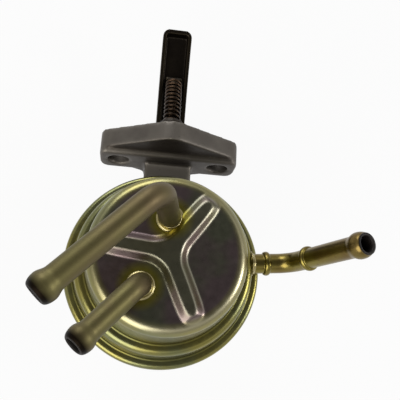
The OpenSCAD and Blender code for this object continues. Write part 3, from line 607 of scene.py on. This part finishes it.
@dataclass(frozen=True)
class Cover:
    """The pressed cover: rolled rim, step, dome and the three-legged relief on its top."""

    rim_z: float = 14.0
    rim_r: float = 35.0
    sheet: float = 1.2
    foot_r: float = 31.6
    step_top_r: float = 30.9
    step_h: float = 9.0
    dome_r: float = 27.0
    dome_top_r: float = 25.9
    dome_h: float = 26.0
    edge_round: float = 3.4
    step_round: float = 2.3
    foot_fillet: float = 0.9
    rim_edge: float = 1.6
    skirt_h: float = 6.6
    curl_in: float = 2.4
    relief_h: float = 2.0
    leg_w: float = 4.0
    leg_slope: float = 2.1
    leg_curve_r: float = 9.4
    leg_turn: float = 54.0
    soft: float = 0.65
    feet: tuple[tuple[float, float], ...] = ((-0.3, 11.0), (-8.0, -11.0))
    steps: int = 432

    def _outer(self) -> list[tuple[float, float]]:
        """Outer skin from the middle of the top to the curl under the housing's edge."""
        top = self.dome_top_r - self.edge_round
        step = self.step_top_r - self.step_round
        flat = [(r, self.dome_h) for r in np.linspace(0, top, 92)[:-1]]
        shoulder = (self.dome_r + self.foot_fillet, self.step_h + self.foot_fillet)
        foot = (self.foot_r + self.foot_fillet, self.foot_fillet)
        rim = self.rim_r - self.rim_edge
        wall = (self.dome_top_r + self.dome_r) / 2, (self.dome_h + self.step_h) / 2
        return (
            flat
            + arc_points((top, self.dome_h - self.edge_round), self.edge_round, 90, 0, 14)
            + [wall]
            + arc_points(shoulder, self.foot_fillet, 180, 270, 5)
            + arc_points((step, self.step_h - self.step_round), self.step_round, 90, 0, 9)
            + arc_points(foot, self.foot_fillet, 180, 270, 5)
            + arc_points((rim, -self.rim_edge), self.rim_edge, 90, 0, 7)
            + arc_points((rim, self.rim_edge - self.skirt_h), self.rim_edge, 0, -90, 6)
            + [(rim - self.curl_in, -self.skirt_h)]
        )

    def _inner(self) -> list[tuple[float, float]]:
        """Inner skin, one sheet under the outer one, in the same order."""
        t, top = self.sheet, self.dome_top_r - self.edge_round
        step = self.step_top_r - self.step_round
        rim = self.rim_r - self.rim_edge
        shoulder = (self.dome_r + self.foot_fillet, self.step_h + self.foot_fillet)
        foot = (self.foot_r + self.foot_fillet, self.foot_fillet)
        return (
            [(r, self.dome_h - t) for r in np.linspace(0, top, 40)[:-1]]
            + arc_points((top, self.dome_h - self.edge_round), self.edge_round - t, 90, 0, 4)
            + arc_points(shoulder, self.foot_fillet + t, 180, 270, 4)
            + arc_points((step, self.step_h - self.step_round), self.step_round - t, 90, 0, 4)
            + arc_points(foot, self.foot_fillet + t, 180, 270, 4)
            + arc_points((rim, -self.rim_edge), self.rim_edge - t, 90, 0, 3)
            + arc_points((rim, self.rim_edge - self.skirt_h), self.rim_edge - t, 0, -90, 3)
            + [(rim - self.curl_in, t - self.skirt_h)]
        )

    def _outside_relief(self, x: np.ndarray, y: np.ndarray) -> np.ndarray:
        """Distance in plan from the top edge of the relief, negative on its top.

        In the sector between two legs the edge is a straight line beside each leg,
        half a leg's width from its axis, and a circle that touches both lines. Beyond
        the ends of the legs it is the distance past the end circle.

        Args:
            x: Sideways place from the axis of the cover.
            y: Place towards the engine from the axis of the cover.

        Returns:
            The distance at each point.
        """
        turn = np.arctan2(y, x) - math.radians(self.leg_turn)
        r = np.hypot(x, y)
        turn = np.mod(turn, 2 * np.pi / 3) - np.pi / 3
        across = np.abs(turn)
        along_leg = r * np.cos(np.pi / 3 - across)
        beside_leg = r * np.sin(np.pi / 3 - across) - self.leg_w / 2
        cove = (self.leg_curve_r + self.leg_w / 2) / math.sin(math.pi / 3)
        px, py = r * np.cos(across), r * np.sin(across)
        in_cove = self.leg_curve_r - np.hypot(px - cove, py)
        distance = np.where(along_leg > cove * 0.5, beside_leg, in_cove)
        end = r - (self.dome_top_r - self.step_round - self.leg_slope)
        gap = distance - end
        blend = 2.3
        return (distance + end + np.sqrt(gap * gap + blend * blend)) / 2 - blend * 0.05

    def relief(self, x: np.ndarray, y: np.ndarray) -> tuple[np.ndarray, np.ndarray]:
        """Height of the relief, and how steep it is there.

        The side falls evenly over the slope's width, and a running average of width
        soft on each side rounds its two edges.

        Args:
            x: Sideways place from the axis of the cover.
            y: Place towards the engine from the axis of the cover.

        Returns:
            The height and the steepness from 0 to 1.
        """
        d = self._outside_relief(x, y)

        def fall(s: np.ndarray) -> np.ndarray:
            """Integral of the straight fall, clipped at both ends."""
            c = np.clip(s, 0, self.leg_slope)
            return s * (s < 0) + c - c * c / (2 * self.leg_slope)

        height = (fall(d + self.soft) - fall(d - self.soft)) / (2 * self.soft)
        inside = np.clip((d + self.soft) / (2 * self.soft), 0, 1)
        outside = np.clip((d - self.leg_slope + self.soft) / (2 * self.soft), 0, 1)
        return self.relief_h * height, inside * (1 - outside)

    def surface(self) -> Surface:
        """The closed sheet as one grid: outer skin out, inner skin back, all the way round.

        Returns:
            The surface with the values that its finish mixes colours by.
        """
        outer, inner = np.array(self._outer()), np.array(self._inner())[::-1]
        profile = np.vstack([outer, inner])
        turn = np.linspace(0, 2 * np.pi, self.steps, endpoint=False)
        r, z = profile[:, :1], profile[:, 1:]
        x, y = r * np.cos(turn), r * np.sin(turn)
        top = self.dome_top_r - self.edge_round
        height, steep = self.relief(x, y)
        past_edge = self._outside_relief(x, y)
        on_top = np.clip((top + 1.6 - r) / 2.4, 0, 1) * (z > self.dome_h - 2 * self.sheet)
        points = np.stack([x, y + AXIS_Y, z + self.rim_z + height * on_top], axis=-1)
        flat = np.clip((top + 0.8 - r) / 1.6, 0, 1) * (z > self.dome_h - 2 * self.sheet) + 0 * turn
        # Painted shade: a soft band along the two concave corners of the profile.
        corners = ((self.dome_r, self.step_h), (self.foot_r, 0.0))
        crease_shade = sum(np.exp(-((r - at) ** 2 + (z - up) ** 2) / 0.8) for at, up in corners) + 0 * turn
        edges = (0.0, self.leg_slope + 0.1)
        # Weights round the cover for the painted highlights and the relief's painted shade: highest on the side
        # the light comes from.
        highlight_side = 0.6 + 0.38 * np.cos(turn + math.radians(50))
        painted_light_side = (0.5 + 0.5 * np.cos(turn + math.radians(20))) * np.clip((top - 1.0 - r) / 3.0, 0, 1)
        from_feet = np.min([np.hypot(x - at, y - up) for at, up in self.feet], axis=0)
        values = {
            "flat": flat,
            "raised": flat * np.clip(0.5 - past_edge, 0, 1),
            # Painted highlight along the dome's shoulder round, strongest on one side of the cover.
            "shoulder": highlight_side * np.exp(-(((r - top - 1.3) / 1.25) ** 2))
            * (z > self.dome_h - self.edge_round),
            # Painted shade tone on the relief sides, stronger on the side the light comes from.
            "steep": on_top * steep * (0.35 + 0.65 * painted_light_side),
            # Painted highlight lines along the relief's edges, weighted towards the side the light comes from.
            "line": 0.7 * painted_light_side * flat * sum(np.exp(-(((past_edge - at) / 0.3) ** 2)) for at in edges),
            "crease_shade": 0.85 * np.clip(crease_shade, 0, 1),
            "stain": 0.9 * flat * np.clip((8.0 - from_feet) / 2.8, 0, 1),
            "braze": 0 * flat,
        }
        values = {key: value.ravel() for key, value in values.items()}
        return Surface(points.reshape(-1, 3), grid_faces(len(profile), self.steps, True, True), values)

    def build(self, finish: Finish) -> Piece:
        """Put the cover in the scene.

        Args:
            finish: The plating.

        Returns:
            The piece.
        """
        piece = add_piece("cover_pressing", outward(self.surface()), Body.PUMP, Slot.COVER, "top_cover")
        piece.data.materials.append(finish)
        return piece

    def build_braze(self, name: str, centre: np.ndarray, way: np.ndarray, tube_r: float, high: float,
                    finish: Finish) -> Piece:
        """Put a brazed fillet round the foot of a tube: a hollow curve turned about it.

        Args:
            name: Name of the ring.
            centre: Middle of the ring on the sheet.
            way: Unit vector out along the tube.
            tube_r: Radius of the tube.
            high: Height of the fillet.
            finish: The plating.

        Returns:
            The piece.
        """
        steps = np.linspace(0, np.pi / 2, 10)
        reach = 0.9
        outer = np.stack([tube_r + reach * (1 - np.sin(steps)) + 0.12, high * (1 - np.cos(steps))], axis=1)
        profile = np.vstack([outer, [[tube_r - 0.2, high], [tube_r - 0.2, -0.4], [tube_r + reach, -0.4]]])
        ring = revolve(profile, 72)
        side = np.cross(way, UP) if abs(way[2]) < 0.9 else np.array([1.0, 0.0, 0.0])
        side = side / np.linalg.norm(side)
        across = np.cross(way, side)
        turn = np.arctan2(ring.points[:, 1], ring.points[:, 0])
        ring.points[:, 2] *= 1 + 0.12 * np.sin(3 * turn + centre[0]) * (ring.points[:, 2] > 0)
        ring.points = ring.points @ np.stack([side, across, way]) + centre
        plain = ("flat", "raised", "shoulder", "steep", "line", "crease_shade", "stain")
        shares = dict.fromkeys(plain, 0.0) | {"braze": 0.9}
        ring.values = {key: np.full(len(ring.points), share) for key, share in shares.items()}
        piece = add_piece(name, outward(ring), Body.PUMP, Slot.COVER)
        piece.data.materials.append(finish)
        return piece


@dataclass(frozen=True)
class HoseTube:
    """A bent tube: straight start, one bend, straight end with a rounded hose stop."""

    name: str
    node: str
    foot: tuple[float, float, float]
    way: tuple[float, float, float]
    bend_to: tuple[float, float, float]
    start: float
    bend_r: float
    bend: float
    run: float
    beads: tuple[float, ...] = ()
    tube_r: float = 3.5
    bore_r: float = 2.5
    bulb_r: float = 4.3
    bulb_l: float = 6.4
    bead_r: float = 4.3
    mouth: float = 0.35
    # Reach of the painted shade on the nose, in millimetres.
    nose_shade_reach: float = 2.9

    def _length(self) -> float:
        """Length along the middle of the tube, from its foot to its mouth."""
        return self.start + self.bend_r * math.radians(self.bend) + self.run

    def _line(self, s: np.ndarray) -> tuple[np.ndarray, np.ndarray]:
        """Middle line and the direction across it: straight, circular arc, straight.

        Args:
            s: Distances along the line.

        Returns:
            The points and the unit vectors in the plane of the bend.
        """
        way, to = np.array(self.way), np.array(self.bend_to)
        turn = np.clip((s - self.start) / self.bend_r, 0, math.radians(self.bend))
        past = np.clip(s - self.start - self.bend_r * math.radians(self.bend), 0, None)
        c, k = np.cos(turn)[:, None], np.sin(turn)[:, None]
        before = np.minimum(s, self.start)[:, None]
        points = np.array(self.foot) + way * before
        points = points + self.bend_r * (way * k + to * (1 - c)) + past[:, None] * (way * c + to * k)
        return points, to * c - way * k

    def _radius(self, s: np.ndarray) -> np.ndarray:
        """Outer radius along the tube: plain, with beads, swelling into the stop.

        Args:
            s: Distances along the line.

        Returns:
            The radius at each.
        """
        left = self._length() - s
        half = self.bulb_l / 2
        swell = (1 - np.cos(np.pi * np.clip((2 * half - left) / half, 0, 1))) / 2
        radius = self.tube_r + (self.bulb_r - self.tube_r) * swell
        lip = self.bore_r + 0.35
        nose = np.sqrt(np.clip(1 - np.clip(1 - left / half, 0, 1) ** 2, 0, 1))
        radius = np.where(left < half, lip + (self.bulb_r - lip) * nose, radius)
        for bead in self.beads:
            lump = np.sqrt(np.clip(1 - (s - bead) ** 2 / 1.15**2, 0, 1))
            radius = np.maximum(radius, self.tube_r + (self.bead_r - self.tube_r) * lump)
        return radius

    def build(self, skin: Finish, bore: Finish) -> Piece:
        """Put the tube in the scene, as one wall that turns in at the mouth.

        Args:
            skin: Finish of the outside.
            bore: Finish of the bore.

        Returns:
            The piece.
        """
        length = self._length()
        half = self.bulb_l / 2
        body = np.arange(0, length - half, 0.55)
        nose = length - half * (1 - np.sin(np.linspace(0, np.pi / 2, 14)))
        fine = [bead + 1.15 * np.sin(np.linspace(-np.pi / 2, np.pi / 2, 13)) for bead in self.beads]
        outer = np.unique(np.concatenate([body, nose, *fine]))
        inner = np.concatenate([[length + 0.02, length - 0.4], np.arange(length - 1, 0, -1.2), [0]])
        r_in = np.full(len(inner), self.bore_r)
        r_in[0], r_in[1] = self.bore_r + 0.3, self.bore_r + 0.08
        s = np.concatenate([outer, inner])
        radii = np.concatenate([self._radius(outer), r_in])
        points, across = self._line(s)
        side = np.broadcast_to(np.cross(self.way, self.bend_to), across.shape)
        surface = carried(points, across, side, radii, 56, True)
        # Painted shade: the nose darkens over its last millimetres towards the mouth.
        dark = np.clip((s - length + self.nose_shade_reach) / 1.8, 0, 1)
        surface.values = {"painted_shade": np.repeat(dark, 56)}
        piece = add_piece(self.name, outward(surface), Body.PUMP, Slot.TUBE, self.node)
        piece.data.materials.append(skin)
        piece.data.materials.append(bore)
        # The bore and the outer lip near the end take the near-black finish: painted shade.
        dark = (np.arange(len(s)) >= len(outer)) | (s > length - self.mouth)
        rows = np.repeat(dark, 56).astype(np.int32)
        piece.data.polygons.foreach_set("material_index", rows)
        return piece


@dataclass(frozen=True)
class ArmSpring:
    """The coil spring of the arm, round a line that bows down to the tab."""

    coil_r: float = 2.95
    wire_r: float = 0.55
    turns: int = 17
    start: tuple[float, float] = (-4.9, 4.6)
    end: tuple[float, float] = (26.95, -0.07)
    bow: float = 0.55

    def build(self, finish: Finish) -> Piece:
        """Put the spring in the scene: a circle carried along a helix about the bowed line.

        Args:
            finish: The wire's finish.

        Returns:
            The piece.
        """
        s = np.linspace(0, 1, self.turns * 36 + 1)
        e, flat = 0.75 / self.turns, 0.25
        q = np.interp(s, [0, e, 1 - e, 1], [0, flat * e, 1 - flat * e, 1])
        p0, p2 = np.array(self.start), np.array(self.end)
        p1 = np.array([p0[0] + (p2[0] - p0[0]) * self.bow, p0[1]])
        u = q[:, None]
        line = (1 - u) ** 2 * p0 + 2 * u * (1 - u) * p1 + u**2 * p2
        way = 2 * (1 - u) * (p1 - p0) + 2 * u * (p2 - p1)
        way = way / np.linalg.norm(way, axis=1, keepdims=True)
        turn = 2 * np.pi * self.turns * s
        c, k = self.coil_r * np.cos(turn), self.coil_r * np.sin(turn)
        path = np.stack([c, line[:, 0] - k * way[:, 1], line[:, 1] + k * way[:, 0]], axis=1)
        tangent = np.gradient(path, axis=0)
        tangent = tangent / np.linalg.norm(tangent, axis=1, keepdims=True)
        out = path - np.stack([0 * turn, line[:, 0], line[:, 1]], axis=1)
        out = out / np.linalg.norm(out, axis=1, keepdims=True)
        side = np.cross(tangent, out)
        side = side / np.linalg.norm(side, axis=1, keepdims=True)
        radii = np.full(len(s), self.wire_r)
        path = np.vstack([path[:1], path, path[-1:]])
        out, side = (np.vstack([a[:1], a, a[-1:]]) for a in (out, side))
        radii = np.concatenate([[0.0], radii, [0.0]])
        surface = carried(path, out, side, radii, 12, False)
        piece = add_piece("arm_spring_coil", outward(surface), Body.PUMP, Slot.SPRING, "arm_spring")
        piece.data.materials.append(finish)
        return piece


@dataclass(frozen=True)
class SoftenedSolid:
    """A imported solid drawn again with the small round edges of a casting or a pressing."""

    name: str
    node: str
    body: Body
    slot: Slot
    voxel_mm: float
    smooth: int
    rub_gain: float = 3.0
    reshape: Callable[[np.ndarray], tuple[np.ndarray, ...]] | None = None

    def build(self, finish: Finish) -> Piece:
        """Copy the solid, merge it, remesh it evenly and smooth it.

        Args:
            finish: The material.

        Returns:
            The piece.
        """
        mesh = frame["nodes"][self.node].data.copy()
        mesh.materials.clear()
        piece = bpy.data.objects.new(self.name, mesh)
        bpy.context.scene.collection.objects.link(piece)
        weld = ("WELD", {"merge_threshold": 1e-6})
        remesh = ("REMESH", {"mode": "VOXEL", "voxel_size": self.voxel_mm * MM, "use_smooth_shade": True})
        smooth = ("SMOOTH", {"factor": 0.5, "iterations": self.smooth})
        if self.reshape:
            done = self._modified(piece, weld, remesh)
            self._moved(done)
            done = self._modified(piece, remesh, smooth)
        else:
            done = self._modified(piece, weld, remesh, smooth)
        done.name = self.name
        wear_and_light = self._rub(done)
        if self.reshape:
            points = np.zeros(len(done.vertices) * 3, np.float32)
            done.vertices.foreach_get("co", points)
            _, painted_shade, painted_neck_light = self.reshape(points.reshape(-1, 3) / MM)
            # The neck's painted light joins the edge wear in one value.
            wear_and_light = np.maximum(wear_and_light, painted_neck_light)
            done.attributes.new("painted_shade", "FLOAT", "POINT").data.foreach_set("value", painted_shade.astype(np.float32))
        done.attributes.new("wear_and_light", "FLOAT", "POINT").data.foreach_set("value", wear_and_light.astype(np.float32))
        done.materials.clear()
        done.materials.append(finish)
        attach(piece, self.body.value)
        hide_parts(self.node)
        LOG.info("%s: %d faces on %s", self.name, len(done.polygons), self.body.value)
        return piece

    @staticmethod
    def _modified(piece: Piece, *steps: tuple[str, dict]) -> bpy.types.Mesh:
        """Apply modifiers to the piece and give it the mesh that they make.

        Args:
            piece: The object.
            steps: Kind and settings of each modifier.

        Returns:
            The new mesh.
        """
        for kind, settings in steps:
            modifier = piece.modifiers.new(kind, kind)
            for key, value in settings.items():
                setattr(modifier, key, value)
        depsgraph = bpy.context.evaluated_depsgraph_get()
        done = bpy.data.meshes.new_from_object(piece.evaluated_get(depsgraph))
        piece.modifiers.clear()
        piece.data = done
        return done

    def _moved(self, mesh: bpy.types.Mesh) -> None:
        """Move the points of a mesh to where the reshaping wants them."""
        points = np.zeros(len(mesh.vertices) * 3, np.float32)
        mesh.vertices.foreach_get("co", points)
        moved = self.reshape(points.reshape(-1, 3) / MM)[0] * MM
        mesh.vertices.foreach_set("co", moved.astype(np.float32).ravel())
        mesh.update()

    def _rub(self, mesh: bpy.types.Mesh) -> np.ndarray:
        """How far each point stands out: the mean, over its edges, of the fall along its normal.

        Args:
            mesh: The finished mesh.

        Returns:
            A share from 0 to 1 for each point.
        """
        count = len(mesh.vertices)
        co, normal = (np.zeros(count * 3, np.float32) for _ in range(2))
        mesh.vertices.foreach_get("co", co)
        mesh.vertices.foreach_get("normal", normal)
        co, normal = co.reshape(-1, 3), normal.reshape(-1, 3)
        edges = np.zeros(len(mesh.edges) * 2, np.int32)
        mesh.edges.foreach_get("vertices", edges)
        edges = edges.reshape(-1, 2)
        total, number = np.zeros(count), np.zeros(count)
        for a, b in ((0, 1), (1, 0)):
            step = co[edges[:, b]] - co[edges[:, a]]
            length = np.linalg.norm(step, axis=1) + 1e-9
            fall = -np.einsum("ij,ij->i", step, normal[edges[:, a]]) / length
            np.add.at(total, edges[:, a], fall)
            np.add.at(number, edges[:, a], 1)
        mean = total / np.maximum(number, 1)
        for _ in range(2):
            spread, weight = mean.copy(), np.ones(count)
            for a, b in ((0, 1), (1, 0)):
                np.add.at(spread, edges[:, a], mean[edges[:, b]])
                np.add.at(weight, edges[:, a], 1)
            mean = spread / weight
        return np.clip(mean * self.rub_gain, 0, 1).astype(np.float32)


def flange_back(points: np.ndarray) -> tuple[np.ndarray, np.ndarray, np.ndarray]:
    """Shape the back of the flange: full thickness in a wide band, one plain recess past it.

    The recess starts at the lip, band_half from the bolt line, and runs on to the
    flange's edge, so that its arch is a plain one. The neck is left as it is.

    Args:
        points: Points in millimetres.

    Returns:
        The moved points, and for each one its share of painted shade and of painted light on the neck.
    """
    thick, depth, lip = 9.9, 2.2, 0.5
    neck_half, neck_top = 9.3, 1.0
    x, y, z = points.T
    band_half = np.where(z > 0, 7.3, 7.7)
    in_neck = (np.abs(x) < neck_half + 0.2) & (z < neck_top + 0.2)
    in_flange = (y > -thick - 0.8) & (np.abs(z) < 22) & (np.abs(x) < 29)
    back = (y < depth - thick + 0.5) & ~in_neck & in_flange
    fall = np.clip((np.abs(z) - band_half) / lip, 0, 1)
    moved = points.copy()
    moved[:, 1] = np.where(back, depth * fall - thick, y)
    inner = fall * np.clip((np.abs(z) - band_half - 0.4) / 0.6, 0, 1)
    # Painted shade on the back face of the flange, stronger in the recess.
    face = np.clip((depth * fall - thick + 0.45 - y) / 0.35, 0, 1) * (y > -thick - 0.8) * ~in_neck
    # Points more than 0.3 mm past the flange's face at y = 0 are darkened fully as well.
    hood = np.clip((y - 0.3) / 0.5, 0, 1)
    painted_shade = np.maximum(face * (0.5 + 0.5 * inner) * (np.abs(x) < 29), hood)
    # Painted light: the neck's top face takes the paler edge-wear tone.
    painted_neck_light = 1.0 * in_neck * (z > neck_top - 0.3) * (y < depth - thick)
    return moved, painted_shade, painted_neck_light


# Studio


@dataclass(frozen=True)
class Studio:
    """Camera at the photograph's place, soft lamps, a pale floor and the room's glow."""

    lens: float = 49.4
    place: tuple[float, float, float] = (-11.43, -91.08, 207.89)
    right: tuple[float, float, float] = (0.990, 0.049, 0.136)
    up: tuple[float, float, float] = (-0.088, 0.951, 0.298)
    floor_z: float = -28.7

    def _camera(self) -> None:
        """Make the scene's camera from its fitted axes."""
        data = bpy.data.cameras.new("camera")
        data.lens, data.sensor_width = self.lens, 36.0
        data.clip_start, data.clip_end = 0.01, 10
        right = Vector(self.right).normalized()
        back = right.cross(Vector(self.up)).normalized()
        up = back.cross(right)
        camera = bpy.data.objects.new("camera", data)
        turn = Matrix((right, up, back)).transposed().to_4x4()
        camera.matrix_world = Matrix.Translation(Vector(self.place) * MM) @ turn
        bpy.context.scene.collection.objects.link(camera)
        bpy.context.scene.camera = camera

    @staticmethod
    def _lamp(name: str, place: tuple[float, float, float], target: tuple[float, float, float], size: float,
              watts: float, tint: tuple[float, float, float] = (1.0, 1.0, 1.0)) -> None:
        """Make a square soft lamp that looks at a target.

        Args:
            name: Name of the lamp.
            place: Its place in metres.
            target: The point that it faces, in metres.
            size: Its side in metres.
            watts: Its power.
            tint: Its colour.
        """
        data = bpy.data.lights.new(name, "AREA")
        data.size, data.energy, data.color = size, watts, tint
        lamp = bpy.data.objects.new(name, data)
        lamp.location = place
        lamp.rotation_mode = "QUATERNION"
        lamp.rotation_quaternion = (Vector(target) - Vector(place)).to_track_quat("-Z", "Y")
        bpy.context.scene.collection.objects.link(lamp)

    @staticmethod
    def _world() -> None:
        """Room glow: pale at the horizon, a bright band half way up and dim overhead."""
        world = bpy.data.worlds.new("room")
        world.use_nodes = True
        bpy.context.scene.world = world
        tree = world.node_tree
        background = tree.nodes["Background"]
        place = tree.nodes.new("ShaderNodeTexCoord")
        split = tree.nodes.new("ShaderNodeSeparateXYZ")
        ramp = tree.nodes.new("ShaderNodeValToRGB")
        ramp.color_ramp.interpolation = "EASE"
        levels = ((0.0, 0.72), (0.16, 0.7), (0.32, 0.42), (0.5, 0.8), (0.66, 0.8), (0.84, 0.16), (1.0, 0.14))
        for position, level in levels[1:-1]:
            ramp.color_ramp.elements.new(position)
        for element, (position, level) in zip(ramp.color_ramp.elements, levels):
            element.position = position
            element.color = (level, level * 0.99, level * 0.96, 1)
        tree.links.new(place.outputs["Generated"], split.inputs["Vector"])
        tree.links.new(split.outputs["Z"], ramp.inputs["Fac"])
        tree.links.new(ramp.outputs["Color"], background.inputs["Color"])

    def _floor(self) -> None:
        """Pale floor that looks white to the camera and keeps a soft shadow."""
        side = 3.0
        mesh = bpy.data.meshes.new("floor")
        z = self.floor_z * MM
        corners = [(-side, -side, z), (side, -side, z), (side, side, z), (-side, side, z)]
        mesh.from_pydata(corners, [], [(0, 1, 2, 3)])
        floor = bpy.data.objects.new("floor", mesh)
        bpy.context.scene.collection.objects.link(floor)
        shader = Shader("pale_floor")
        shader.bsdf.inputs["Base Color"].default_value = (0.5, 0.5, 0.5, 1)
        shader.bsdf.inputs["Roughness"].default_value = 0.9
        glow = shader.node("ShaderNodeEmission")
        path = shader.node("ShaderNodeLightPath")
        share = shader.node("ShaderNodeMath", operation="MAXIMUM")
        either = shader.node("ShaderNodeMath", operation="MAXIMUM")
        weight = shader.node("ShaderNodeMath", operation="MULTIPLY")
        weight.inputs[1].default_value = 0.93
        shader.join(path.outputs["Is Camera Ray"], share.inputs[0])
        shader.join(path.outputs["Is Glossy Ray"], share.inputs[1])
        shader.join(share.outputs["Value"], either.inputs[0])
        shader.join(path.outputs["Is Transmission Ray"], either.inputs[1])
        shader.join(either.outputs["Value"], weight.inputs[0])
        mixed = shader.node("ShaderNodeMixShader")
        shader.join(weight.outputs["Value"], mixed.inputs["Fac"])
        shader.join(shader.bsdf.outputs["BSDF"], mixed.inputs[1])
        shader.join(glow.outputs["Emission"], mixed.inputs[2])
        shader.join(mixed.outputs["Shader"], shader.tree.nodes["Material Output"].inputs["Surface"])
        floor.data.materials.append(shader.material)

    def build(self) -> None:
        """Set up the camera, the lamps, the room and the floor."""
        self._camera()
        self._world()
        self._floor()
        middle = (0.0, -0.045, 0.01)
        self._lamp("front_lamp", (-0.35, -0.55, 0.45), middle, 0.6, 5.0, (1.0, 0.98, 0.94))
        self._lamp("side_lamp", (0.6, -0.1, 0.35), middle, 0.2, 1.6)
        self._lamp("back_lamp", (-0.2, 0.6, 0.4), middle, 0.4, 2.4, (0.95, 0.97, 1.0))
        bpy.context.scene.view_settings.view_transform = "Standard"


def dress_solids(effects: Effects) -> None:
    """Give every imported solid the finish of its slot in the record.

    Args:
        effects: The shared node groups.
    """
    made = {slot: finish.make(effects) for slot, finish in SLOT_FINISHES.items()}
    slots = {row["node"]: row["material_slot"] for row in frame["record"]["subparts"]}
    for node, solid in frame["nodes"].items():
        solid.data.materials.clear()
        solid.data.materials.append(made[slots[node]])
        LOG.info("%s: dressed as %s", node, slots[node])


def tubes() -> list[HoseTube]:
    """The three tubes at their places.

    Returns:
        The outlet, the return and the inlet tube.
    """

    def level(turn: float) -> tuple[float, float, float]:
        """Unit vector along the floor in a direction seen from above."""
        return (math.cos(math.radians(turn)), math.sin(math.radians(turn)), 0.0)

    inside, flat_z = 2.2, 40.0
    lean = math.radians(9.0)
    tilt = np.array([[math.cos(lean), 0, -math.sin(lean)], [0, 1, 0], [math.sin(lean), 0, math.cos(lean)]])
    riser, onward = tilt @ UP, tilt @ level(228.0)
    foot = np.array([-0.3, AXIS_Y + 11, flat_z]) - inside * riser
    second = np.array([-8.0, AXIS_Y - 11, flat_z - inside])
    lean = math.radians(1.2)
    out, aside = np.array(level(5.0)), np.array(level(95.0))
    root = np.array([0, AXIS_Y, 18.6]) + 29.6 * out
    rise = math.cos(lean) * UP - math.sin(lean) * aside
    return [
        HoseTube("outlet_pipe", "outlet_tube", tuple(foot), tuple(riser), tuple(onward),
                 22.0 + inside, 8.0, 78.0, 36.0),
        HoseTube("return_pipe", "return_tube", tuple(second), (0.0, 0.0, 1.0), level(229.0),
                 1.6 + inside, 6.0, 75.0, 22.0),
        HoseTube("inlet_pipe", "inlet_tube", tuple(root), tuple(out), tuple(rise),
                 10.4, 8.0, 68.0, 32.0, (6.9, 10.4 + 8 * math.radians(68) + 5), nose_shade_reach=0.6),
    ]


def main() -> None:
    """Dress the solids, build the new pieces and the studio, and report each piece."""
    logging.basicConfig(level=logging.INFO, format="%(message)s")
    effects = Effects()
    dress_solids(effects)
    zinc = ZincCoverFinish().make(effects)
    tube_zinc, side_zinc, bore = (finish.make(effects) for finish in (TUBE_ZINC, SIDE_ZINC, TUBE_BORE_SHADE))
    cover = Cover()
    cover.build(zinc)
    pipes = tubes()
    for pipe, skin in zip(pipes, (tube_zinc, tube_zinc, side_zinc)):
        pipe.build(skin, bore)
    for pipe, name in zip(pipes[:2], ("outlet_braze", "return_braze")):
        foot = np.array(pipe.foot) + 2.2 * np.array(pipe.way)
        cover.build_braze(name, foot, UP, pipe.tube_r, 1.4, zinc)
    inlet_way = np.array(pipes[2].way)
    root = np.array(pipes[2].foot) + inlet_way * (cover.step_top_r - 29.6 + 0.3)
    cover.build_braze("inlet_braze", root, inlet_way, 3.5, 0.9, zinc)
    ArmSpring().build(SPRING_STEEL.make(effects))
    housing = SoftenedSolid("housing_casting", "housing", Body.PUMP, Slot.CASTING, 0.62, 5,
                            reshape=flange_back)
    housing.build(CASTING.make(effects))
    SoftenedSolid("arm_pressing", "rocker_arm", Body.ROCKER, Slot.ARM, 0.3, 3).build(ARM_STEEL.make(effects))
    Studio().build()


if __name__ == "__main__":
    main()
